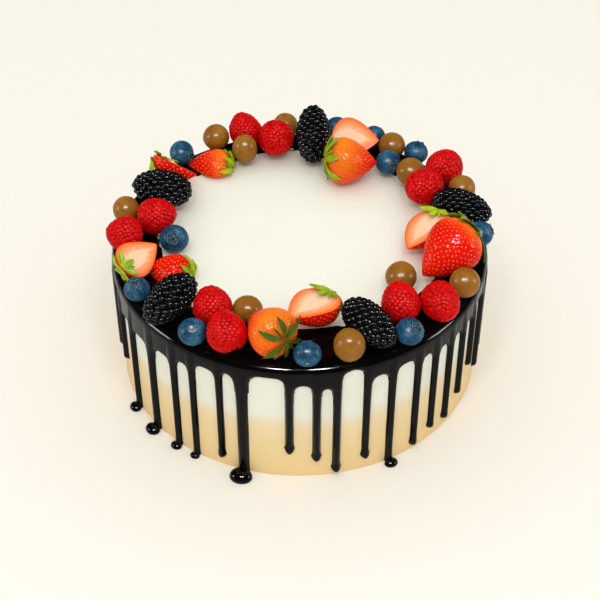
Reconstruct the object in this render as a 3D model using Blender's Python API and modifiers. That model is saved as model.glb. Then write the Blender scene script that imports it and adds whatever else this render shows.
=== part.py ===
"""A round drip cake: a coat of two creams, a dark ganache drip, and a ring of fruit and malt balls.

Metres, +Z up. The origin is the middle of the flat base, and -Y is the front.
"""

import math
import random
from itertools import combinations

import bmesh
import bpy
from mathutils import Matrix, Vector
from mathutils.bvhtree import BVHTree

MM = 0.001

# The cake
CAKE_RADIUS = 101.5 * MM
TAN_CREAM_HEIGHT = 41 * MM
CREAM_HEIGHT = 78.2 * MM
CREAM_EDGE = 2.5 * MM
CAKE_SIDES = 64
JOINT_GAP = 0.3 * MM
WELD_DISTANCE = 0.05 * MM

# The ganache: the ring on top, the band over the rim, and the arches between the drips
GANACHE_GAP = 0.4 * MM
GANACHE_TOP = 80 * MM
GANACHE_INNER_RADIUS = 79 * MM
INNER_EDGE_SLOPE = 1.2 * MM
INNER_EDGE_WAVES = ((1.5 * MM, 5, 1.0), (1.2 * MM, 11, 0.0))
BAND_THICKNESS = 1.3 * MM
BACK_ARCH_HEIGHT = 71 * MM
ARCH_DROP = 4 * MM
ARCH_SWAY = 1.6 * MM
ARCH_SWAY_RATE = 2.3

# Corners of the rim's round, out and up (mm) from where the band's outside would meet its top
RIM_ROUND = ((-4.5, 0), (-0.5, -1.5), (0, -4.5))

# Corners of the band's lower edge at an arch, out from the cream and up from the arch (mm)
ARCH_EDGE = ((0.9, 0.8), (0.7, 0.3), (0.35, 0), (0, 0.2))

# The drips
DRIP_THICKNESS = 2.4 * MM
DRIP_EDGE_SHARE = 0.25
DRIP_COLUMNS = (-1.1, -0.85, 0, 0.85, 1.1)
TIP_LENGTH = 3 * MM
TIP_ROUND = 1.4 * MM
TIP_UNDERCUT = 0.5 * MM
POOLED_TIP = 0.8 * MM
POOL_REACH = 0.42
POOL_HEIGHT = 0.36
BACK_DRIP_SEED = 4
BACK_DRIP_TIPS = (5, 34)
BACK_DRIP_HALF_WIDTHS = (1.9, 2.4)
BACK_DRIP_STEP = (9.0, 12.5)
BACK_DRIP_MARGINS = (9.0, 8.0)

# The toppings
REST_GAP = 0.3 * MM
TOPPING_GAP = 0.4 * MM
CREAM_REST_DISTANCE = 73 * MM
OUTERMOST_DISTANCE = 99 * MM
NUDGE = 0.2 * MM
NUDGE_ROUNDS = 200
NEIGHBOUR_REACH = 45 * MM

# How many drupelets a berry has, its taper to the tip, and how deep its valleys are as a share of its radius
RASPBERRY_FORM = (37, 0.16, 0.05)
BRAMBLE_FORM = (47, 0.06, 0.07)

# The blueberry's crown: how far out and how high its points, notches and middle are, as shares of its radius
BLUEBERRY_SIDES = 10
CROWN_POINT = (0.92, 0.97)
CROWN_NOTCH = (0.7, 0.9)
CROWN_MIDDLE = 0.8

# The strawberry's shape: where its middle lies along it, and the powers that draw its shoulder and its tip
STRAWBERRY_MIDDLE = 0.42
STRAWBERRY_SHOULDER = 0.62
STRAWBERRY_FULLNESS = 0.8
CUT_HEIGHT = 0.2 * MM

# The leaves of a strawberry: thickness, gap to the fruit, reach as a share of its width, and how they lift
LEAF_THICKNESS = 0.5 * MM
LEAF_GAP = 0.7 * MM
LEAF_REACH = 0.55
# The leaves of strawberry 2 lie over more than half of it
LONG_LEAF_REACH = 0.8
LONG_LEAVED = 2
LEAF_ROOT = 2 * MM
LEAF_WALK = 0.002
LEAF_MIDDLES = {"whole": (0, 0), "cut face up": (-0.3, 0.5), "cut face down": (0, -0.6)}

# Lobes over a cut face: how far up they lie, how far they start from the end, and their reach
LEAF_CUT_RISE = 0.6 * MM
LEAF_CUT_START = 1 * MM
LEAF_CUT_REACH = 0.8

# Two places along a lobe: share of its reach, turn of each side as a share of the lobe's turn, and lift
LEAF_WAISTS = ((0.5, 0.34, 0.3 * MM), (0.8, 0.2, 0.5 * MM))
LEAF_TIP_LIFT = 1.3 * MM
LEAF_WAVE = 0.3 * MM

MALT_BALL_SEED = 11

# Drips seen at the front: place round the cake (degrees), height of the tip, width, width of its pool, and
# height of the arch after it (mm)
FRONT_DRIPS = (
    (200, 24, 3.2, 0, 60),
    (209, 6, 4.2, 7.5, 60),
    (220, 5, 5.2, 9, 62.5),
    (230, 4, 4.4, 6.5, 65),
    (237, 4, 4.2, 5.5, 68.5),
    (246, 7, 4.2, 0, 70.5),
    (253, 4, 6.4, 12.5, 72),
    (267, 19, 4.6, 0, 67.5),
    (275, 13, 4.6, 0, 65.5),
    (281, 3, 4.6, 0, 75),
    (290, 9, 4.4, 0, 67),
    (298, 4, 4.6, 7.5, 68.5),
    (307, 4, 4.4, 0, 66.5),
    (314, 9, 4.2, 0, 65),
    (321, 7, 4.2, 0, 64.5),
    (328, 16, 4.0, 0, 64.5),
    (335, 27, 3.8, 0, 68),
)

# Raspberries and brambles: place round the cake (degrees), distance from its middle, length and width (mm),
# heading and tilt of the tip (degrees)
RASPBERRIES = (
    (110, 95, 22, 20, 120, 50),
    (100, 81, 22, 21.5, 270, 5),
    (175, 78, 23, 20.5, 0, 15),
    (185, 95, 22, 20.5, 190, 15),
    (235, 80, 21.5, 21, 120, 60),
    (247, 94, 23, 21, 120, 45),
    (309, 84, 23, 21, 110, 50),
    (318, 96, 25, 20.5, 290, 5),
    (32, 97, 24, 22, 200, 20),
    (25, 77, 24, 21.5, 215, 15),
)
BRAMBLES = (
    (84, 80, 36, 21.5, 90, 42),
    (157, 84, 35, 22, 165, 0),
    (224, 90, 36, 21, 222, -20),
    (294, 87, 36, 20.5, 320, -18),
    (10, 91, 35, 19.5, 338, -8),
)

# Blueberries: place round the cake (degrees), distance, width and height (mm), heading and tilt of the crown
BLUEBERRIES = (
    (133, 99, 14.8, 14.4, 330, 0),
    (185, 69, 16, 15, 270, 40),
    (210, 98, 13.6, 12.6, 270, 65),
    (237, 99, 14.8, 13.8, 90, -60),
    (272, 98, 14.4, 13, 90, 10),
    (302, 99, 14.8, 13.8, 315, 50),
    (358, 99, 14.4, 13.4, 0, 30),
    (47, 99, 14.4, 13.6, 60, 20),
    (50, 78, 14.8, 14, 300, 20),
    (64, 99, 13.6, 12.8, 240, -50),
    (76, 98, 14.6, 13.6, 90, 0),
)

# Malt balls: place round the cake (degrees), distance, width and height (mm)
MALT_BALLS = (
    (120, 99, 16, 15.6),
    (115, 80, 15, 18),
    (95, 98, 15.8, 15.4),
    (170, 98, 15.8, 15.4),
    (247, 70, 16, 15.2),
    (285, 97, 16.4, 18.6),
    (324, 66, 17.4, 16),
    (333, 96, 16.8, 16.4),
    (21, 98, 16.4, 16),
    (41, 81, 16.6, 16),
    (55, 95, 16.4, 15.2),
)

# Strawberries: place round the cake (degrees), distance, length and width (mm), heading and tilt of the tip,
# the kind, the lean of a cut face to the left of the heading (degrees), and the number of leaf lobes
STRAWBERRIES = (
    (128, 87, 27, 21, 172, 0, "cut face down", 0, 4),
    (144, 89, 30, 22, 324, 0, "cut face up", 48, 3),
    (199, 90, 26, 21, 50, 0, "cut face up", -30, 3),
    (203, 75, 27, 22, 160, 0, "cut face down", 0, 4),
    (263, 86, 29, 26, 128, -8, "whole", 0, 6),
    (277, 72, 30, 28, 224, 0, "cut face up", -12, 3),
    (342, 84, 38, 31, 222, -18, "whole", 0, 6),
    (358, 70, 34, 24, 237, -8, "cut face up", -17, 3),
    (62, 66, 30, 27, 5, -8, "whole", 0, 6),
    (69, 88, 28, 25, 350, 0, "cut face up", -35, 0),
)


def clear_scene():
    for thing in list(bpy.data.objects):
        bpy.data.objects.remove(thing, do_unlink=True)


def new_material(name, colour, roughness):
    material = bpy.data.materials.new(name)
    material.use_nodes = True
    shader = material.node_tree.nodes["Principled BSDF"]
    shader.inputs["Base Color"].default_value = (*colour, 1.0)
    shader.inputs["Roughness"].default_value = roughness
    shader.inputs["Metallic"].default_value = 0.0
    return material


def new_object(name, bm, material, collection):
    """Makes an object of a closed mesh, with its faces turned out."""
    bmesh.ops.recalc_face_normals(bm, faces=bm.faces)
    if bm.calc_volume(signed=True) < 0:
        bmesh.ops.reverse_faces(bm, faces=bm.faces)
    mesh = bpy.data.meshes.new(name)
    bm.to_mesh(mesh)
    bm.free()
    mesh.materials.append(material)
    thing = bpy.data.objects.new(name, mesh)
    collection.objects.link(thing)
    return thing


def polar(radius, angle, height):
    return (radius * math.cos(angle), radius * math.sin(angle), height)


def disc_of_cream(name, low, high, edge, material, collection):
    """A turned layer as wide as the cake, with a small round on its top edge if it has an edge."""
    bm = bmesh.new()
    corners = [(0, high), (CAKE_RADIUS - edge, high)]
    if edge:
        corners += [(CAKE_RADIUS - 0.3 * edge, high - 0.3 * edge), (CAKE_RADIUS, high - edge)]
    corners += [(CAKE_RADIUS, low), (0, low)]
    previous = None
    for radius, height in corners:
        vert = bm.verts.new((radius, 0, height))
        if previous:
            bm.edges.new((previous, vert))
        previous = vert
    mesh = bpy.data.meshes.new(name)
    bm.to_mesh(mesh)
    bm.free()
    mesh.materials.append(material)
    layer = bpy.data.objects.new(name, mesh)
    turn = layer.modifiers.new("Turn", "SCREW")
    turn.steps = CAKE_SIDES
    turn.render_steps = CAKE_SIDES
    turn.use_merge_vertices = True
    turn.merge_threshold = WELD_DISTANCE
    collection.objects.link(layer)
    return layer


def all_drips():
    """The drips at the front and round the back, as (angle, tip, half width, pool width, arch after it)."""
    drips = []
    for angle, tip, width, pool, arch in FRONT_DRIPS:
        tip_height = POOLED_TIP if pool else tip * MM
        drips.append((math.radians(angle), tip_height, 0.5 * width * MM, pool * MM, arch * MM))
    draw = random.Random(BACK_DRIP_SEED)
    angle = FRONT_DRIPS[-1][0] + BACK_DRIP_MARGINS[0]
    last = FRONT_DRIPS[0][0] + 360 - BACK_DRIP_MARGINS[1]
    while angle < last:
        tip = draw.uniform(*BACK_DRIP_TIPS)
        half_width = draw.uniform(*BACK_DRIP_HALF_WIDTHS)
        arch = BACK_ARCH_HEIGHT + ARCH_SWAY * math.sin(ARCH_SWAY_RATE * math.radians(angle))
        drips.append((math.radians(angle), tip * MM, half_width * MM, 0.0, arch))
        angle += draw.uniform(*BACK_DRIP_STEP)
    return drips


def ganache_section(angle, across, tip, arch):
    """A closed section of the ganache at one place round the cake.

    across is 0 in the middle of a drip and 1 at its edge. Past 1 the section stops at an arch.
    """
    inside = CAKE_RADIUS + GANACHE_GAP
    outside = inside + BAND_THICKNESS
    cream_top = CREAM_HEIGHT + GANACHE_GAP
    inner = GANACHE_INNER_RADIUS + sum(
        size * math.sin(waves * angle + shift) for size, waves, shift in INNER_EDGE_WAVES
    )
    points = [(inner, cream_top), (inner + INNER_EDGE_SLOPE, GANACHE_TOP)]
    points += [(outside + out * MM, GANACHE_TOP + up * MM) for out, up in RIM_ROUND]
    if across > 1:
        points += [(inside + out * MM, arch + up * MM) for out, up in ARCH_EDGE]
    else:
        bulge = math.sqrt(1 - across * across)
        thick = DRIP_THICKNESS * (DRIP_EDGE_SHARE + (1 - DRIP_EDGE_SHARE) * bulge)
        end = tip + TIP_ROUND * (1 - bulge)
        points += [
            (inside + 0.8 * thick, arch - TIP_LENGTH),
            (inside + thick, tip + TIP_LENGTH),
            (inside + 0.55 * thick, end),
            (inside, end + TIP_UNDERCUT),
        ]
    points.append((inside, cream_top))
    return [polar(radius, angle, height) for radius, height in points]


def sweep(sections):
    """Joins closed sections, one for each place round the cake, into a ring."""
    bm = bmesh.new()
    rings = [[bm.verts.new(point) for point in section] for section in sections]
    size = len(rings[0])
    for column, ring in enumerate(rings):
        following = rings[(column + 1) % len(rings)]
        for row in range(size):
            above = (row + 1) % size
            bm.faces.new((ring[row], following[row], following[above], ring[above]))
    bmesh.ops.triangulate(bm, faces=bm.faces)
    return bm


def pool_of_ganache(angle, width):
    """Half an egg, flat side down, where a drip reaches the base."""
    bm = bmesh.new()
    bmesh.ops.create_uvsphere(bm, u_segments=10, v_segments=6, radius=1.0)
    below = [vert for vert in bm.verts if vert.co.z < -0.1]
    bmesh.ops.delete(bm, geom=below, context="VERTS")
    bmesh.ops.holes_fill(bm, edges=bm.edges)
    size = Matrix.Diagonal((POOL_REACH * width, 0.5 * width, POOL_HEIGHT * width, 1))
    middle = CAKE_RADIUS + GANACHE_GAP + POOL_REACH * width
    place = Matrix.Translation(polar(middle, angle, REST_GAP))
    bm.transform(place @ Matrix.Rotation(angle, 4, "Z") @ size)
    return bm


def make_ganache(material, collection):
    """One sheet: the ring on top, the band over the rim, the drips, and the pools at the foot of some."""
    drips = all_drips()
    sections = []
    for number, (angle, tip, half_width, _, arch) in enumerate(drips):
        following = drips[(number + 1) % len(drips)][0]
        if following < angle:
            following += 2 * math.pi
        half_angle = half_width / CAKE_RADIUS
        arch_before = drips[number - 1][4]
        for across in DRIP_COLUMNS:
            place = angle + across * half_angle
            near_arch = arch_before if across < 0 else arch if across > 0 else 0.5 * (arch_before + arch)
            sections.append(ganache_section(place, abs(across), tip, near_arch - ARCH_DROP))
        sections.append(ganache_section(0.5 * (angle + following), 2, tip, arch))
    ganache = new_object("ganache", sweep(sections), material, collection)

    pools = bpy.data.collections.new("pools of ganache")
    bpy.context.scene.collection.children.link(pools)
    for angle, _, _, width, _ in drips:
        if width:
            new_object("pool", pool_of_ganache(angle, width), material, pools)
    join = ganache.modifiers.new("Join pools", "BOOLEAN")
    join.operation = "UNION"
    join.operand_type = "COLLECTION"
    join.collection = pools
    bpy.context.view_layer.update()
    joined = ganache.evaluated_get(bpy.context.evaluated_depsgraph_get())
    ganache.data = bpy.data.meshes.new_from_object(joined)
    ganache.modifiers.clear()
    for pool in list(pools.objects):
        bpy.data.objects.remove(pool, do_unlink=True)
    bpy.data.collections.remove(pools)


def facing(heading, tilt, lean=0.0):
    """Turns local +X to a heading and a tilt, and leans local +Z to the left of the heading."""
    turn = Matrix.Rotation(math.radians(heading), 4, "Z")
    rise = Matrix.Rotation(-math.radians(tilt), 4, "Y")
    return turn @ rise @ Matrix.Rotation(-math.radians(lean), 4, "X")


def drupelet_berry(length, width, form):
    """An ovoid of pointed drupelets round a spiral of points, with a valley where three of them meet."""
    count, taper, valley = form
    bm = bmesh.new()
    golden_angle = math.pi * (3 - math.sqrt(5))
    for number in range(count):
        along = 1 - (2 * number + 1) / count
        radius = 0.5 * width * math.sqrt(1 - along * along) * (1 - taper * along)
        turn = golden_angle * number
        bm.verts.new((0.5 * length * along, radius * math.cos(turn), radius * math.sin(turn)))
    bmesh.ops.convex_hull(bm, input=bm.verts)
    loose = [vert for vert in bm.verts if not vert.link_faces]
    bmesh.ops.delete(bm, geom=loose, context="VERTS")
    ridges = list(bm.edges)
    for vert in bmesh.ops.poke(bm, faces=bm.faces)["verts"]:
        vert.co *= 1 - valley
    bmesh.ops.rotate_edges(bm, edges=ridges, use_ccw=False)
    return bm


def blueberry(width, height):
    """A squashed ball with a sunken, five-pointed crown on its +X side."""
    bm = bmesh.new()
    bmesh.ops.create_uvsphere(bm, u_segments=BLUEBERRY_SIDES, v_segments=6, radius=1.0)

    def level_and_turn(vert):
        return (-round(vert.co.z, 4), math.atan2(vert.co.y, vert.co.x))

    from_the_top = sorted(bm.verts, key=level_and_turn)
    from_the_top[0].co.z = CROWN_MIDDLE
    for number, vert in enumerate(from_the_top[1 : BLUEBERRY_SIDES + 1]):
        reach, rise = CROWN_NOTCH if number % 2 else CROWN_POINT
        vert.co = Vector((vert.co.x * reach, vert.co.y * reach, rise))
    bm.transform(Matrix.Diagonal((0.5 * width, 0.5 * width, 0.5 * height, 1)))
    bm.transform(Matrix.Rotation(math.pi / 2, 4, "Y"))
    return bm


def malt_ball(width, height, draw):
    """A ball that the coating has left a little uneven."""
    bm = bmesh.new()
    bmesh.ops.create_uvsphere(bm, u_segments=10, v_segments=6, radius=0.5)
    turn = Matrix.Rotation(draw.uniform(0, math.pi), 4, "Z")
    lean = Matrix.Rotation(draw.uniform(-0.3, 0.3), 4, "X")
    bm.transform(turn @ lean @ Matrix.Diagonal((width, width * draw.uniform(0.95, 1.0), height, 1)))
    return bm


def strawberry_radius(share, width):
    """Half the width of a strawberry at a share of its length, 0 at the leaves and 1 at the tip."""
    return 0.5 * width * math.sin(math.pi * share**STRAWBERRY_SHOULDER) ** STRAWBERRY_FULLNESS


def strawberry(length, width, kind):
    """A heart-shaped fruit along +X, whole, or cut in half with the cut face up."""
    bm = bmesh.new()
    bmesh.ops.create_uvsphere(bm, u_segments=12, v_segments=8, radius=1.0)
    for vert in bm.verts:
        share = math.acos(max(-1.0, min(1.0, vert.co.z))) / math.pi
        flat = Vector((vert.co.x, vert.co.y))
        around = flat.normalized() if flat.length > 0.001 else Vector((0, 0))
        radius = strawberry_radius(share, width) if 0 < share < 1 else 0.0
        vert.co = Vector(((share - STRAWBERRY_MIDDLE) * length, around.x * radius, around.y * radius))
    if kind != "whole":
        cut = bmesh.ops.bisect_plane(
            bm,
            geom=bm.verts[:] + bm.edges[:] + bm.faces[:],
            dist=0.01 * MM,
            plane_co=(0, 0, CUT_HEIGHT),
            plane_no=(0, 0, 1),
            clear_outer=True,
        )
        rim = [item for item in cut["geom_cut"] if isinstance(item, bmesh.types.BMEdge)]
        bmesh.ops.triangle_fill(bm, edges=rim, use_beauty=True)
    bmesh.ops.triangulate(bm, faces=bm.faces)
    return bm


def shoulder(distance, length, width):
    """A place on a strawberry's outline, a distance from its wide end: x, radius and the way out in both."""
    place = Vector((-STRAWBERRY_MIDDLE * length, 0.0))
    along = Vector((0.0, 1.0))
    share = 0.0
    gone = 0.0
    while gone < distance:
        share += LEAF_WALK
        following = Vector(((share - STRAWBERRY_MIDDLE) * length, strawberry_radius(share, width)))
        along = (following - place).normalized()
        gone += (following - place).length
        place = following
    return place.x, place.y, -along.y, along.x


def calyx(length, width, kind, lobes, reach):
    """A thin star of leaves on a strawberry's wide end, lying back over its shoulder and over a cut face."""
    bm = bmesh.new()
    start = -STRAWBERRY_MIDDLE * length - LEAF_GAP - LEAF_THICKNESS
    over_cut = kind == "cut face up"
    span = math.pi if kind == "cut face down" else 2 * math.pi
    first = math.pi
    count = 2 * lobes if over_cut else lobes
    step = span / count
    ahead, up = LEAF_MIDDLES[kind]
    middle = bm.verts.new((start + ahead * MM, 0, up * MM))

    def leaf_point(distance, turn, lift):
        rise = LEAF_GAP + LEAF_THICKNESS + lift
        upward = math.sin(turn)
        if over_cut and upward > 0.01:
            forward = max(distance * LEAF_CUT_REACH - LEAF_CUT_START, 0.0) * upward
            height = CUT_HEIGHT + LEAF_CUT_RISE + rise
            return bm.verts.new((start + forward, distance * LEAF_CUT_REACH * math.cos(turn), height))
        x, radius, out_x, out_radius = shoulder(distance, length, width)
        radius += out_radius * rise
        return bm.verts.new((x + out_x * rise, radius * math.cos(turn), radius * upward))

    root_count = count if span > math.pi else count + 1
    roots = [leaf_point(LEAF_ROOT, first + step * number, 0.0) for number in range(root_count)]
    for number in range(count):
        side = (-1) ** number
        centre = first + step * (number + 0.5)
        left = roots[number]
        right = roots[(number + 1) % root_count]
        bm.faces.new((middle, left, right))
        for share, turn, lift in LEAF_WAISTS:
            left_side = leaf_point(share * reach, centre - turn * step, lift + LEAF_WAVE * side)
            right_side = leaf_point(share * reach, centre + turn * step, lift)
            bm.faces.new((left, left_side, right_side))
            bm.faces.new((left, right_side, right))
            left = left_side
            right = right_side
        tip = leaf_point(reach * (1.0 + 0.1 * side), centre, LEAF_TIP_LIFT)
        bm.faces.new((left, tip, right))
    bmesh.ops.recalc_face_normals(bm, faces=bm.faces)
    bmesh.ops.solidify(bm, geom=bm.faces[:], thickness=LEAF_THICKNESS)
    bmesh.ops.triangulate(bm, faces=bm.faces)
    return bm


def place_topping(pieces, angle, distance):
    """Stands the first piece on the ganache, or on the cream nearer the middle, with the others on it."""
    distance *= MM
    lowest = min(vert.co.z for piece in pieces for vert in piece.data.vertices)
    surface = CREAM_HEIGHT if distance < CREAM_REST_DISTANCE else GANACHE_TOP
    x, y, _ = polar(distance, math.radians(angle), 0)
    pieces[0].location = (x, y, surface + REST_GAP - lowest)
    for child in pieces[1:]:
        child.parent = pieces[0]


def outline_tree(pieces):
    """A search tree of the pieces' faces, moved out by half the gap that neighbours keep."""
    place = pieces[0].location
    points = []
    faces = []
    for piece in pieces:
        first = len(points)
        for vert in piece.data.vertices:
            points.append(vert.co + vert.normal * (0.5 * TOPPING_GAP) + place)
        for face in piece.data.polygons:
            faces.append([first + index for index in face.vertices])
    return BVHTree.FromPolygons(points, faces)


def settle(toppings):
    """Nudges toppings apart over the top of the cake until no two of them touch."""
    trees = [outline_tree(pieces) for pieces in toppings]
    for _ in range(NUDGE_ROUNDS):
        moves = {}
        for a, b in combinations(range(len(toppings)), 2):
            apart = toppings[a][0].location - toppings[b][0].location
            apart.z = 0
            if apart.length < NEIGHBOUR_REACH and trees[a].overlap(trees[b]):
                push = apart.normalized() * NUDGE
                moves[a] = moves.get(a, Vector()) + push
                moves[b] = moves.get(b, Vector()) - push
        if not moves:
            break
        for number, move in moves.items():
            pieces = toppings[number]
            place = pieces[0].location + move
            distance = math.hypot(place.x, place.y)
            if distance > OUTERMOST_DISTANCE:
                place.x *= OUTERMOST_DISTANCE / distance
                place.y *= OUTERMOST_DISTANCE / distance
            pieces[0].location = place
            trees[number] = outline_tree(pieces)


def make_toppings(materials, collection):
    """Makes the fruit and malt balls at the places listed above, then settles them against each other."""
    draw = random.Random(MALT_BALL_SEED)
    toppings = []

    def add(pieces, angle, distance):
        place_topping(pieces, angle, distance)
        toppings.append(pieces)

    for number, (angle, distance, length, width, heading, tilt) in enumerate(RASPBERRIES, 1):
        bm = drupelet_berry(length * MM, width * MM, RASPBERRY_FORM)
        bm.transform(facing(heading, tilt))
        berry = new_object(f"raspberry_{number}", bm, materials["raspberry"], collection)
        add([berry], angle, distance)
    for number, (angle, distance, length, width, heading, tilt) in enumerate(BRAMBLES, 1):
        bm = drupelet_berry(length * MM, width * MM, BRAMBLE_FORM)
        bm.transform(facing(heading, tilt))
        berry = new_object(f"bramble_{number}", bm, materials["bramble"], collection)
        add([berry], angle, distance)
    for number, (angle, distance, width, height, heading, tilt) in enumerate(BLUEBERRIES, 1):
        bm = blueberry(width * MM, height * MM)
        bm.transform(facing(heading, tilt))
        berry = new_object(f"blueberry_{number}", bm, materials["blueberry"], collection)
        add([berry], angle, distance)
    for number, (angle, distance, width, height) in enumerate(MALT_BALLS, 1):
        bm = malt_ball(width * MM, height * MM, draw)
        ball = new_object(f"malt_ball_{number}", bm, materials["malt ball"], collection)
        add([ball], angle, distance)
    leaves = 0
    for number, row in enumerate(STRAWBERRIES, 1):
        angle, distance, length, width, heading, tilt, kind, lean, lobes = row
        turn = facing(heading, tilt, 180 if kind == "cut face down" else lean)
        fruit = strawberry(length * MM, width * MM, kind)
        fruit.transform(turn)
        pieces = [new_object(f"strawberry_{number}", fruit, materials["strawberry"], collection)]
        if lobes:
            leaves += 1
            reach = (LONG_LEAF_REACH if number == LONG_LEAVED else LEAF_REACH) * width * MM
            star = calyx(length * MM, width * MM, kind, lobes, reach)
            star.transform(turn)
            pieces.append(new_object(f"calyx_{leaves}", star, materials["leaf"], collection))
        add(pieces, angle, distance)
    settle(toppings)


def main():
    clear_scene()
    cake = bpy.data.collections.new("drip cake")
    bpy.context.scene.collection.children.link(cake)
    materials = {
        "tan cream": new_material("tan cream", (0.75, 0.55, 0.33), 0.5),
        "white cream": new_material("white cream", (0.86, 0.86, 0.76), 0.5),
        "ganache": new_material("ganache", (0.006, 0.004, 0.004), 0.12),
        "raspberry": new_material("raspberry", (0.55, 0.01, 0.015), 0.3),
        "bramble": new_material("bramble", (0.008, 0.006, 0.012), 0.2),
        "blueberry": new_material("blueberry", (0.03, 0.07, 0.16), 0.5),
        "malt ball": new_material("malt ball", (0.28, 0.14, 0.03), 0.35),
        "strawberry": new_material("strawberry", (0.75, 0.04, 0.01), 0.3),
        "leaf": new_material("leaf", (0.3, 0.5, 0.02), 0.5),
    }
    joint = TAN_CREAM_HEIGHT + JOINT_GAP
    disc_of_cream("cream_lower", 0, TAN_CREAM_HEIGHT, 0, materials["tan cream"], cake)
    disc_of_cream("cream_upper", joint, CREAM_HEIGHT, CREAM_EDGE, materials["white cream"], cake)
    make_ganache(materials["ganache"], cake)
    make_toppings(materials, cake)


main()
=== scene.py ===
import math
import random

import bmesh
import bpy
import numpy as np
from mathutils import Matrix, Vector, kdtree, noise


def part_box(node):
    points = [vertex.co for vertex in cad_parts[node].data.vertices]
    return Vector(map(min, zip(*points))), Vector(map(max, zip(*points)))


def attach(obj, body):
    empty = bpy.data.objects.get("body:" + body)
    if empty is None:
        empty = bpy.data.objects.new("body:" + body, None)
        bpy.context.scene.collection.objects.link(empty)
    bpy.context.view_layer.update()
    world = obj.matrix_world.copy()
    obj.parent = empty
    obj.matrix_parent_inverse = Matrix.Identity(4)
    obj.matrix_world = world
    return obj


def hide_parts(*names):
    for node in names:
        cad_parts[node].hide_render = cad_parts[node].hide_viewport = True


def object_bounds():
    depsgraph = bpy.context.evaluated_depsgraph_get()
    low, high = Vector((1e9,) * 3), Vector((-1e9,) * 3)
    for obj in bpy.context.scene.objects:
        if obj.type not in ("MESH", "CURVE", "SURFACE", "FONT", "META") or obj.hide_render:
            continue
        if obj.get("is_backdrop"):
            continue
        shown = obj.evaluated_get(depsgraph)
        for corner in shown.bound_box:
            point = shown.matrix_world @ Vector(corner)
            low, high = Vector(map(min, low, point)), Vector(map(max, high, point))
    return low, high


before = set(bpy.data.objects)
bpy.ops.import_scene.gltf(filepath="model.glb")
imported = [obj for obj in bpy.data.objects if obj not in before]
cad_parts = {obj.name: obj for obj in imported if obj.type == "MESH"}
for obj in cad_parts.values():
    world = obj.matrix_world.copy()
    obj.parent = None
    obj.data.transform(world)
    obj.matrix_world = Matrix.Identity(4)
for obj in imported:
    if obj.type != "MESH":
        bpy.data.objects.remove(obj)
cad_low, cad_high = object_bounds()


# The coat of cream: soft buttercream spread over the whole cake and scraped smooth on a turntable. It is
# caramel tan at the foot and ivory above, and the two run into each other at half height. The scraper has
# left it a little uneven.
MM = 0.001
CAKE_RADIUS = 101.5 * MM
CREAM_HEIGHT = 78.2 * MM
CREAM_EDGE = 2.5 * MM
CREAM_PLACES = 256
CREAM_UNEVENNESS = 0.16 * MM
BLEND_HEIGHT = 41.5 * MM
BLEND_SOFTNESS = 5.5 * MM
BLEND_SWAY = 9 * MM
TAN_HEIGHT = 36 * MM


def grid_faces(rows, columns, round_columns=False):
    """Quads over a grid of points in rows, which close on themselves if round_columns is true."""
    faces = []
    for row in range(rows - 1):
        for column in range(columns if round_columns else columns - 1):
            following = (column + 1) % columns
            faces.append(
                (
                    row * columns + column,
                    row * columns + following,
                    (row + 1) * columns + following,
                    (row + 1) * columns + column,
                )
            )
    return faces


def turned_over(faces):
    """The same faces, looking the other way."""
    return [face[::-1] for face in faces]


def facing_out(points, faces):
    """The faces turned over if the volume inside them comes out less than nothing."""
    corners = [(face[0], face[step], face[step + 1]) for face in faces for step in range(1, len(face) - 1)]
    first, second, third = np.asarray(points)[np.array(corners)].transpose(1, 0, 2)
    return faces if np.sum(first * np.cross(second, third)) > 0 else turned_over(faces)


def new_piece(name, points, faces, materials, slot, nodes, marks=None, face_materials=None):
    """A smooth mesh that stands for CAD nodes, with a number for each point under each mark's name."""
    mesh = bpy.data.meshes.new(name)
    mesh.from_pydata(np.asarray(points).tolist(), [], faces)
    for material in materials:
        mesh.materials.append(material)
    if face_materials is not None:
        mesh.polygons.foreach_set("material_index", face_materials)
    for mark, values in (marks or {}).items():
        attribute = mesh.attributes.new(mark, "FLOAT", "POINT")
        attribute.data.foreach_set("value", np.asarray(values, np.float32))
    mesh.shade_smooth()
    piece = bpy.data.objects.new(name, mesh)
    bpy.context.scene.collection.objects.link(piece)
    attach(piece, "root")
    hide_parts(*nodes)
    return piece


def add_node(tree, kind, values=None, **settings):
    """A shader node with its settings, and with a value or a link in each named or numbered socket."""
    node = tree.nodes.new(kind)
    for setting, value in settings.items():
        setattr(node, setting, value)
    for socket, value in (values or {}).items():
        if isinstance(value, bpy.types.NodeSocket):
            tree.links.new(value, node.inputs[socket])
        else:
            node.inputs[socket].default_value = value
    return node


def colour_ramp(tree, factor, *stops):
    """A colour for each factor, from stops given as (place, red, green, blue)."""
    node = add_node(tree, "ShaderNodeValToRGB", {"Fac": factor})
    ramp = node.color_ramp
    while len(ramp.elements) < len(stops):
        ramp.elements.new(1.0)
    for element, (place, *colour) in zip(ramp.elements, stops):
        element.position = place
        element.color = (*colour, 1.0)
    return node.outputs["Color"]


def value_map(tree, value, low, high, new_low=0.0, new_high=1.0):
    """The value stretched from one range to another, and held inside the new one."""
    values = {"Value": value, "From Min": low, "From Max": high, "To Min": new_low, "To Max": new_high}
    return add_node(tree, "ShaderNodeMapRange", values).outputs["Result"]


def times_plus(tree, value, factor, added):
    """The value times a factor, with another value added."""
    values = {0: value, 1: factor, 2: added}
    return add_node(tree, "ShaderNodeMath", values, operation="MULTIPLY_ADD").outputs[0]


def mix_colours(tree, factor, first, second, way="MIX"):
    """A mix of two colours, each given as a colour or as the socket that it comes from."""
    node = add_node(tree, "ShaderNodeMix", data_type="RGBA", blend_type=way)
    for socket, value in ((0, factor), (6, first), (7, second)):
        if isinstance(value, bpy.types.NodeSocket):
            tree.links.new(value, node.inputs[socket])
        else:
            node.inputs[socket].default_value = value if socket == 0 else (*value, 1.0)
    return node.outputs[2]


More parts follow.
